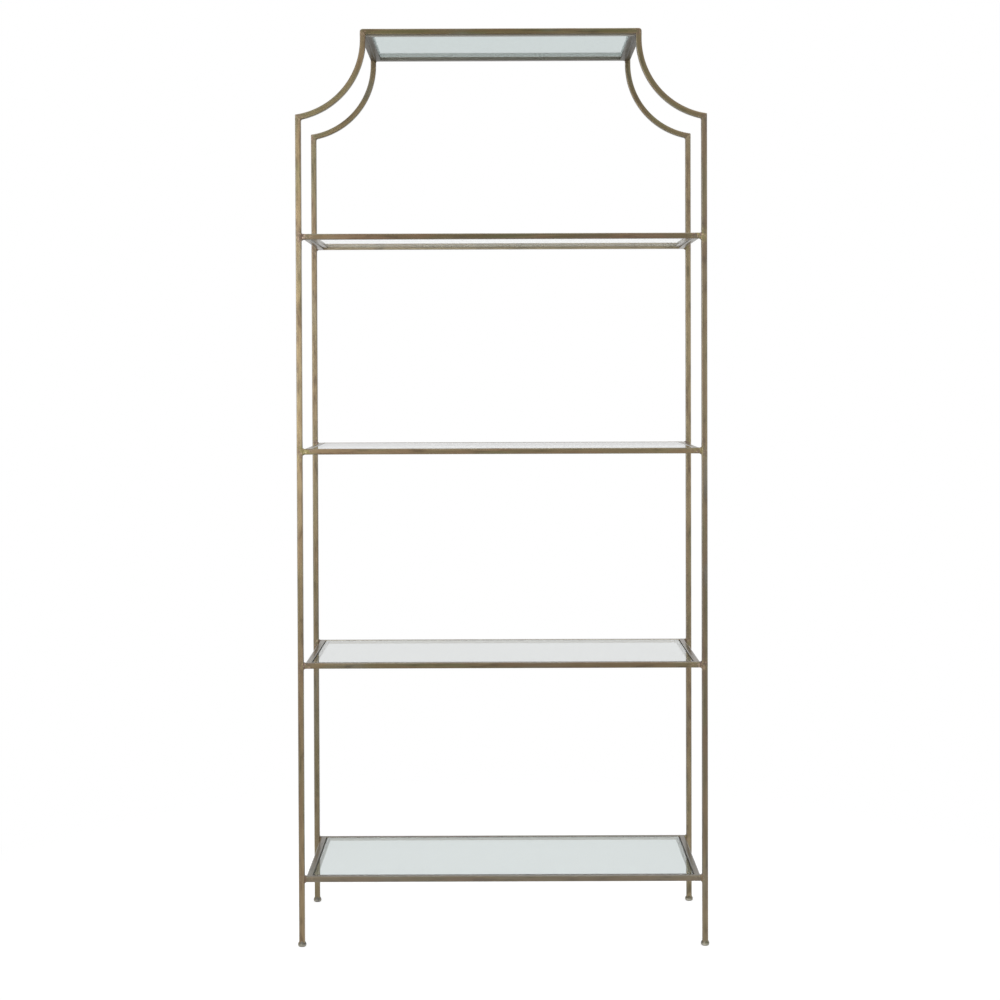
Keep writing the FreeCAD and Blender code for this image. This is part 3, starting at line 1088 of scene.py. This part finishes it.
def bridge_lines(joint, seed):
    """Carries a swelling outline from the end of a shelf bar to the leg beside it.

    The outline is a rounded square: the cosine and sine of the angle, each raised to a
    power below one. Its height grows on the way by one less the height of a quarter
    circle, so that it leaves the bar level and meets the leg steeply.
    """
    rail_end, y, level = joint
    side = np.sign(rail_end)
    share = np.linspace(0, 1, BRIDGE_RINGS)[:, None]
    angle = np.linspace(0, 2 * math.pi, BRIDGE_LINES, endpoint=False)
    gap = LEG_X - HALF_BAR - abs(rail_end) + RAIL_SINK + LEG_SINK
    x = side * (abs(rail_end) - RAIL_SINK + gap * share)
    swell = 1 - np.sqrt(1 - (share * FULL_SWELL) ** 2)
    waves = np.stack([np.cos(angle), np.sin(angle)])
    across, up = np.sign(waves) * np.abs(waves) ** BRIDGE_SQUARENESS
    creep = np.where(up > 0, BRIDGE_CREEP_UP, BRIDGE_CREEP_DOWN)
    height = BRIDGE_HALF_HEIGHT + creep * swell
    depth = BRIDGE_HALF_DEPTH + BRIDGE_SPREAD * swell
    grid = np.stack([x + 0 * up, y + side * depth * across, level + height * up], axis=-1)
    return lumpy(grid, *BRIDGE_LUMPS, seed)


def fillet_lines(corner, away, seed):
    """Carries a small hollow triangle along the inside of a mitred corner.

    One of its sides runs down the upright bar and another away along the other bar, both
    just inside the metal. The third is hollow: its points move from one side's end to
    the other, drawn towards the corner by a share of a sine. The triangle shrinks at
    both ends of the corner.
    """
    first, second, axis = -UP, unit(away), np.array([0, 1, 0])
    share = np.linspace(0, 1, INNER_LINES)[:, None]
    chord = (1 - share) * first + share * second
    hollow = chord * (1 - INNER_HOLLOW * np.sin(math.pi * share)) * INNER_REACH
    back = -(first + second) * INNER_SINK
    outline = np.concatenate([hollow, [back]])
    if np.cross(first, second) @ axis < 0:
        outline = outline[::-1]
    along = np.linspace(-1, 1, INNER_RINGS)[:, None, None]
    shrink = np.sqrt(1 - (along * INNER_SHRINK) ** 4)
    grid = corner + outline * shrink + axis * along * INNER_HALF_LENGTH
    return lumpy(grid, *INNER_LUMPS, seed)


print("a bridge spans", round((LEG_X - HALF_BAR - SHELF_HALF_WIDTH) / MM, 1), "mm")

# %% Braze the joints
BRAZE_HEAT = 0.8
BRAZE_SPAN = 5
braze_metal = metal(
    "braze", ("joint_heat_and_sole_shade", "bloomed"), bump=0.6, metallic=0.85,
    Base=(104, 86, 70), Brown=(86, 62, 54), Straw=(166, 146, 112), Grey=(92, 78, 74),
    Green=(134, 128, 72),
)


def add_braze(name, row, grid, seed):
    """Adds a lump of braze, whose patina is read straight from its place.

    All the braze of a row stands for the one solid that holds the row's lumps.
    """
    measures = {
        "bar_place": grid + np.random.default_rng(seed).uniform(-BRAZE_SPAN, BRAZE_SPAN, 3),
        "joint_heat_and_sole_shade": heat_at(grid) * BRAZE_HEAT,
        "bloomed": heat_at(grid, BLOOMED) * BRAZE_HEAT,
    }
    piece = add_piece(name, grid, braze_metal, "frame", measures)
    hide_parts("brazed_bridges_" + row)


seed = FIRST_BRAZE_SEED
for row, _, y in ROWS:
    for side, x in (("left", -SHELF_HALF_WIDTH), ("right", SHELF_HALF_WIDTH)):
        for shelf, top in SHELF_TOPS.items():
            grid = bridge_lines((x, y, top - HALF_BAR), seed)
            add_braze(f"braze_{shelf}_shelf_{row}_{side}", row, grid, seed)
            seed += 1

for row, opposite_row, y in ROWS:
    _, inner, _, centre = shoulder(y)
    along_sweep = np.cross(centre - inner, (0, 1, 0))
    at_shoulder = fillet_lines(inner, along_sweep * np.sign(along_sweep[0]), seed)
    under_rail = np.array([-CREST_HALF_WIDTH + BAR, y, TOP - BAR])
    at_top = fillet_lines(under_rail, (1, 0, 0), seed + 1)
    for place, grid in (("shoulder", at_shoulder), ("top_corner", at_top)):
        add_braze(f"braze_{place}_{row}_left", row, grid, seed)
        turned = grid * HALF_TURN
        add_braze(f"braze_{place}_{opposite_row}_right", opposite_row, turned, seed + 1)
        seed += 2
print("brazed the joints, with", BRIDGE_RINGS * BRIDGE_LINES, "points in each bridge")

# %% [markdown]
# ## The feet
#
# Each leg stands on a small round pad, turned on a lathe. Blender's Spin tool does
# this, and so does a formula with two parameters, the place along the profile and the
# angle. The profile is a flat sole, a tight arc out to the rim, a short upright, and a
# long hollow flare that rises over the leg's end.

# %% Turn the feet
FOOT_LINES = 72
SOLE_SHARE = 0.64
RIM_LOW_SHARE = 0.46
RIM_HIGH_SHARE = 0.58
FLARE_RISE = 5.5 * MM
FLARE_RADIUS = HALF_BAR * 0.97
CAP_SHARE = 0.3
# The feet's light band round the rim is a painted highlight, and their darkening towards the sole
# is painted shade.
RIM_HIGHLIGHT, RIM_MIDDLE, RIM_SPREAD = 1.3, 0.42, 0.24
SOLE_SHADE, SOLE_SHADE_SHARE = 0.8, 0.3


def foot_grid(centre, radius, height):
    """Turns the profile round the foot's axis.

    The lower arc is a quarter of an ellipse from the sole out to the rim. Over a short
    upright, half a wave of a cosine leads in to the leg and ends inside it.
    """
    sole = radius * SOLE_SHARE
    rim_low = height * RIM_LOW_SHARE
    rim_high = height * RIM_HIGH_SHARE
    turn = np.linspace(0, math.pi / 2, 12)
    lower_r = sole + (radius - sole) * np.sin(turn)
    lower_z = rim_low * (1 - np.cos(turn))
    flare = np.linspace(0, 1, 16)
    top = height + FLARE_RISE
    upper_r = FLARE_RADIUS + (radius - FLARE_RADIUS) * (1 + np.cos(math.pi * flare)) / 2
    upper_z = rim_high + (top - rim_high) * flare
    caps = [sole * CAP_SHARE], [FLARE_RADIUS * CAP_SHARE]
    profile_r = np.concatenate([caps[0], lower_r, upper_r, caps[1]])
    profile_z = np.concatenate([[0], lower_z, upper_z, [top]])
    angle = np.linspace(0, 2 * math.pi, FOOT_LINES, endpoint=False)
    x = centre[0] + profile_r[:, None] * np.cos(angle)
    y = centre[1] + profile_r[:, None] * np.sin(angle)
    z = centre[2] + profile_z[:, None] + 0 * angle
    return np.stack([x, y, z], axis=-1)


# The feet's pale tones paint the rim's highlight, and the dark tone in the burnt place paints the
# shade at the sole.
foot_metal = metal(
    "foot_brass", ("edge_wear_and_highlight", "joint_heat_and_sole_shade"), bump=0.2, metallic=0.9,
    Base=(104, 96, 74), Brown=(95, 92, 84), Straw=(184, 180, 166), Burnt=(60, 49, 32),
    Bloom=(83, 83, 50), Rose=(95, 92, 84), Edge=(184, 180, 166),
)
for name in ("front_left", "front_right", "rear_left", "rear_right"):
    low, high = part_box("foot_" + name)
    middle = np.array([(low.x + high.x) / 2, (low.y + high.y) / 2, low.z])
    grid = foot_grid(middle, (high.x - low.x) / 2, high.z - low.z)
    share = (grid[..., 2] - low.z) / (high.z - low.z)
    measures = {
        "bar_place": grid,
        # A painted highlight round the rim, and painted shade towards the sole.
        "edge_wear_and_highlight": RIM_HIGHLIGHT * np.exp(-((share - RIM_MIDDLE) / RIM_SPREAD) ** 2),
        "joint_heat_and_sole_shade": SOLE_SHADE * np.clip(1 - share / SOLE_SHADE_SHARE, 0, 1),
    }
    pad = add_piece("foot_" + name + "_pad", grid, foot_metal, "frame", measures)
    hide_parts("foot_" + name)
print("turned four feet of", round((high.x - low.x) / MM, 1), "mm")

# %% [markdown]
# ## The glass
#
# The panes are the solids themselves: their corners and ground edges are already right,
# and only the material is missing. A plain glass shader has one tint. Here the body
# colour shows at the edges, which are cut across the green of the glass. At a glancing
# look the tint is deeper: partly the green of a longer way through, and partly a painted
# shade for the dimmer room that the surface mirrors there. At the flattest look the
# surface mirrors the room, and the tint goes again. The pane in the head is tinted
# deeper and greener still at a glancing look. Window glass throws only a faint shadow,
# so light from the lamps passes straight through.

# %% Make the glass
GLASS_CLEAR = (0.90, 0.94, 0.935, 1)
# Deeper tint at a glancing look: partly the glass's green, partly painted shade.
GLASS_GLANCING_SHADE = (0.605, 0.68, 0.675, 1)
GLASS_HEAD_DEEPER = (0.54, 0.68, 0.67, 1)
GLASS_SKIMMED = (0.93, 0.95, 0.945, 1)
GLASS_EDGE = (0.58, 0.74, 0.69, 1)
LEANING_LOOK = (0.1, 0.7)
FLATTEST_LOOK = (0.75, 0.85)
HEAD_HEIGHTS = (1.8, 2.0)
GLASS_IOR = 1.52
RIPPLE_STRENGTH = 0.006
GLASS_SHADOW = (0.93, 0.96, 0.955, 1)
SMUDGE_ROUGHNESS = 0.008
GROUND_ROUGHNESS = 0.22
RIPPLE_HEIGHT = 0.2 * MM


def glass_material():
    """Mixes the glass's tints by the look's angle, and lets shadow rays through."""
    material, tree, shader = new_material("clear_glass")
    place = add_node(tree, "TexCoord").outputs["Object"]
    normal = add_node(tree, "NewGeometry").outputs["Normal"]
    facing = add_node(tree, "LayerWeight", Blend=0.5).outputs["Facing"]
    leaning = rising(tree, facing, *LEANING_LOOK)
    cut = rising(tree, joined(tree, "ABSOLUTE", part_of(tree, normal, "Z")), 0.8, 0.3)
    in_head = rising(tree, part_of(tree, place, "Z"), *HEAD_HEIGHTS)
    tint = layered(
        tree, GLASS_CLEAR, (leaning, GLASS_GLANCING_SHADE),
        (rising(tree, facing, *FLATTEST_LOOK), GLASS_SKIMMED),
        (times(tree, in_head, leaning), GLASS_HEAD_DEEPER), (cut, GLASS_EDGE),
    )
    smudge = rising(tree, streaks(tree, place, (9, 22, 9), 4.0, 0.65), 0.5, 0.8)
    ripple = add_node(
        tree, "Bump", Strength=RIPPLE_STRENGTH, Distance=RIPPLE_HEIGHT,
        Height=noise(tree, place, 6.0, 1.0),
    )
    feed_inputs(
        tree, shader, Transmission_Weight=1, IOR=GLASS_IOR, Base_Color=tint,
        Roughness=weighted(tree, 0.0, (smudge, SMUDGE_ROUGHNESS), (cut, GROUND_ROUGHNESS)),
        Normal=ripple.outputs["Normal"],
    )
    clear = add_node(tree, "BsdfTransparent", Color=GLASS_SHADOW).outputs["BSDF"]
    mixed_shaders(tree, rays_of(tree, "Shadow"), shader.outputs["BSDF"], clear)
    return material


clear_glass = glass_material()
panes = [solid for name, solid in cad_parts.items() if name.endswith("_shelf_glass")]
for pane in panes:
    pane.data.materials.clear()
    pane.data.materials.append(clear_glass)
print(len(panes), "panes")

# %% [markdown]
# ## Floor and room
#
# The room is a plain studio: a pale floor and a white surround. Lighting a floor until
# it is white would spoil the metal with too much light. Instead the floor and the room
# show themselves as white to the camera, and in and through metal and glass, while
# their own light stays plain. A part of the floor is still lit in the usual way, so the
# piece keeps its shadow. Behind the piece a studio is a little dimmer, so there they
# are toned down in what metal and glass mirror or let through.

# %% Lay the floor and light the room
FLOOR_RADIUS = 40.0
FLOOR_GREY = (0.93, 0.93, 0.93, 1)
FLOOR_PALE = (0.96, 0.96, 0.96, 1)
FLOOR_SHARE_LIT = 0.4
FLOOR_LIT_LEVEL = 0.6
SHADOW_NEAR = 0.5
SHADOW_FAR = 1.5
ROOM_LIGHT = 0.62
BEHIND_STARTS = (-0.3, 0.4)
BEHIND_ENDS = (19.0, 15.0)
FLOOR_BEHIND = 0.75
ROOM_BEHIND = 0.85
SEEN = ("Camera", "Glossy", "Transmission")


def floor_material():
    """Makes a matt floor that looks white, and shows a shadow near the feet.

    The rays that see the floor get a share of its lit surface, which fades to nothing
    further out, and a plain white that is dimmer by what an unshaded floor adds.
    """
    material, tree, shader = new_material("studio_floor")
    place = add_node(tree, "TexCoord").outputs["Object"]
    cloud = rising(tree, noise(tree, place, 1.7, 3.0), 0.3, 0.7)
    feed_inputs(
        tree, shader, Base_Color=layered(tree, FLOOR_GREY, (cloud, FLOOR_PALE)), Roughness=0.8,
        Specular_IOR_Level=0,
    )
    away = add_node(tree, "VectorMath", {"operation": "LENGTH"}, Vector=place)
    away = away.outputs["Value"]
    share = times(tree, rising(tree, away, SHADOW_FAR, SHADOW_NEAR), FLOOR_SHARE_LIT)
    lit = add_node(tree, "BsdfDiffuse", Color=share)
    behind = rising(tree, part_of(tree, place, "Y"), *BEHIND_STARTS)
    behind = times(tree, behind, rising(tree, away, *BEHIND_ENDS))
    mirrored = times(tree, behind, joined(tree, "SUBTRACT", 1.0, rays_of(tree, "Camera")))
    dimmed = weighted(tree, 1.0, (share, -FLOOR_LIT_LEVEL))
    dimmed = times(tree, dimmed, weighted(tree, 1.0, (mirrored, FLOOR_BEHIND - 1)))
    white = add_node(tree, "Emission", Strength=dimmed)
    seen = add_node(tree, "AddShader")
    feed(tree, seen.inputs[0], lit.outputs["BSDF"])
    feed(tree, seen.inputs[1], white.outputs["Emission"])
    mixed_shaders(tree, rays_of(tree, *SEEN), shader.outputs["BSDF"], seen.outputs["Shader"])
    return material


def add_floor():
    """Makes a round floor: one ring of points at the radius, below the feet."""
    angle = np.linspace(0, 2 * math.pi, 96, endpoint=False)
    points = np.stack([np.cos(angle), np.sin(angle), 0 * angle], axis=-1) * FLOOR_RADIUS
    mesh = bpy.data.meshes.new("floor")
    mesh.from_pydata(points.tolist(), [], [list(range(len(angle)))])
    mesh.materials.append(floor_material())
    floor = new_object("floor", mesh)
    floor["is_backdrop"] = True


def add_room():
    """Makes a world that looks white, and gives a softer light than it looks."""
    world = bpy.data.worlds.new("studio_room")
    bpy.context.scene.world = world
    world.use_nodes = True
    tree = world.node_tree
    direction = add_node(tree, "TexCoord").outputs["Generated"]
    behind = times(
        tree, rising(tree, part_of(tree, direction, "Y"), 0.1, 0.7), rays_of(tree, "Glossy")
    )
    strength = add_node(
        tree, "MapRange", {"interpolation_type": "LINEAR"},
        Value=rays_of(tree, *SEEN), To_Min=ROOM_LIGHT,
        To_Max=weighted(tree, 1.0, (behind, ROOM_BEHIND - 1)),
    )
    feed_inputs(
        tree, tree.nodes["Background"], Color=(1, 1, 1, 1), Strength=strength.outputs["Result"]
    )


def add_lamp(name, place, aim_height, size, power):
    """Adds a soft square lamp that faces a point over the origin."""
    lamp = bpy.data.lights.new(name, "AREA")
    lamp.shape = "RECTANGLE"
    lamp.size, lamp.size_y = size
    lamp.energy = power
    direction = Vector((0, 0, aim_height)) - Vector(place)
    turn = direction.to_track_quat("-Z", "Y").to_matrix().to_4x4()
    new_object(name, lamp).matrix_world = Matrix.Translation(place) @ turn


add_floor()
add_room()
add_lamp("left_softbox", (-2.3, -4.4, 1.5), 1.1, (2.2, 2.0), 60)
add_lamp("right_softbox", (2.6, -4.2, 1.4), 1.1, (1.6, 2.0), 22)
add_lamp("top_softbox", (0, -0.6, 4.2), 1.0, (3.0, 3.0), 45)
print("lit")

# %% [markdown]
# ## Standard colours, and the dressed size
#
# The view is left on the plain Standard transform, so that a colour comes out as it was
# written. Last, the size of the dressed piece's box is printed.

# %% Finish
bpy.context.scene.view_settings.view_transform = "Standard"
dressed_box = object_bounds()
dressed_size = [round(size, 4) for size in dressed_box[1] - dressed_box[0]]
print("box of the dressed piece:", dressed_size, "m")
